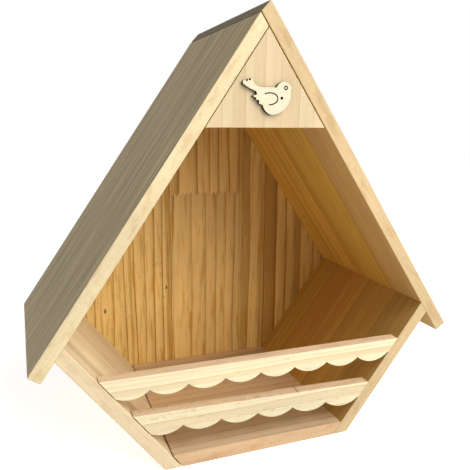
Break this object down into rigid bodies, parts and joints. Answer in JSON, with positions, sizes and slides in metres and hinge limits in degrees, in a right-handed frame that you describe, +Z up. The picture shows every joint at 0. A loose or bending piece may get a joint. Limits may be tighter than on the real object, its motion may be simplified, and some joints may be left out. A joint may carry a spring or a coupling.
{
  "type": "bird feeder house",
  "caption": "Kite-shaped wooden bird feeder house with an open front, scalloped rails across the lower part and a flat bird on the gable.",
  "frame": {"origin": "centre of the footprint's box on the surface that the house stands on", "axes": "+Z up to the ridge, the open front faces -Y, +X to the right seen from the front"},
  "size_m": [0.4072, 0.215, 0.3996],
  "materials": {
    "pine": "clear matt varnish on edge-glued pine",
    "roof_board": "bare pine, greyed a little on the outer face",
    "plywood": "bare birch plywood, laser cut with dark edges",
    "brad_steel": "bright wire",
    "zinc_plate": "zinc plated, satin",
    "screw_steel": "zinc plated"
  },
  "bodies": {
    "root": {"roof_left": "roof_board", "roof_right": "roof_board", "gable": "pine", "back_panel": "pine", "side_left": "pine", "side_right": "pine", "floor": "pine", "rail_upper": "pine", "rail_lower": "pine", "bird_ornament": "plywood", "hanger_plate": "zinc_plate", "hanger_screws": "screw_steel", "ridge_brads": "brad_steel", "gable_brads_left": "brad_steel", "gable_brads_right": "brad_steel", "eave_brads_left": "brad_steel", "eave_brads_right": "brad_steel", "floor_brads_left": "brad_steel", "floor_brads_right": "brad_steel", "rail_upper_brads": "brad_steel", "rail_lower_brads": "brad_steel", "panel_brads": "brad_steel"}
  },
  "joints": []
}
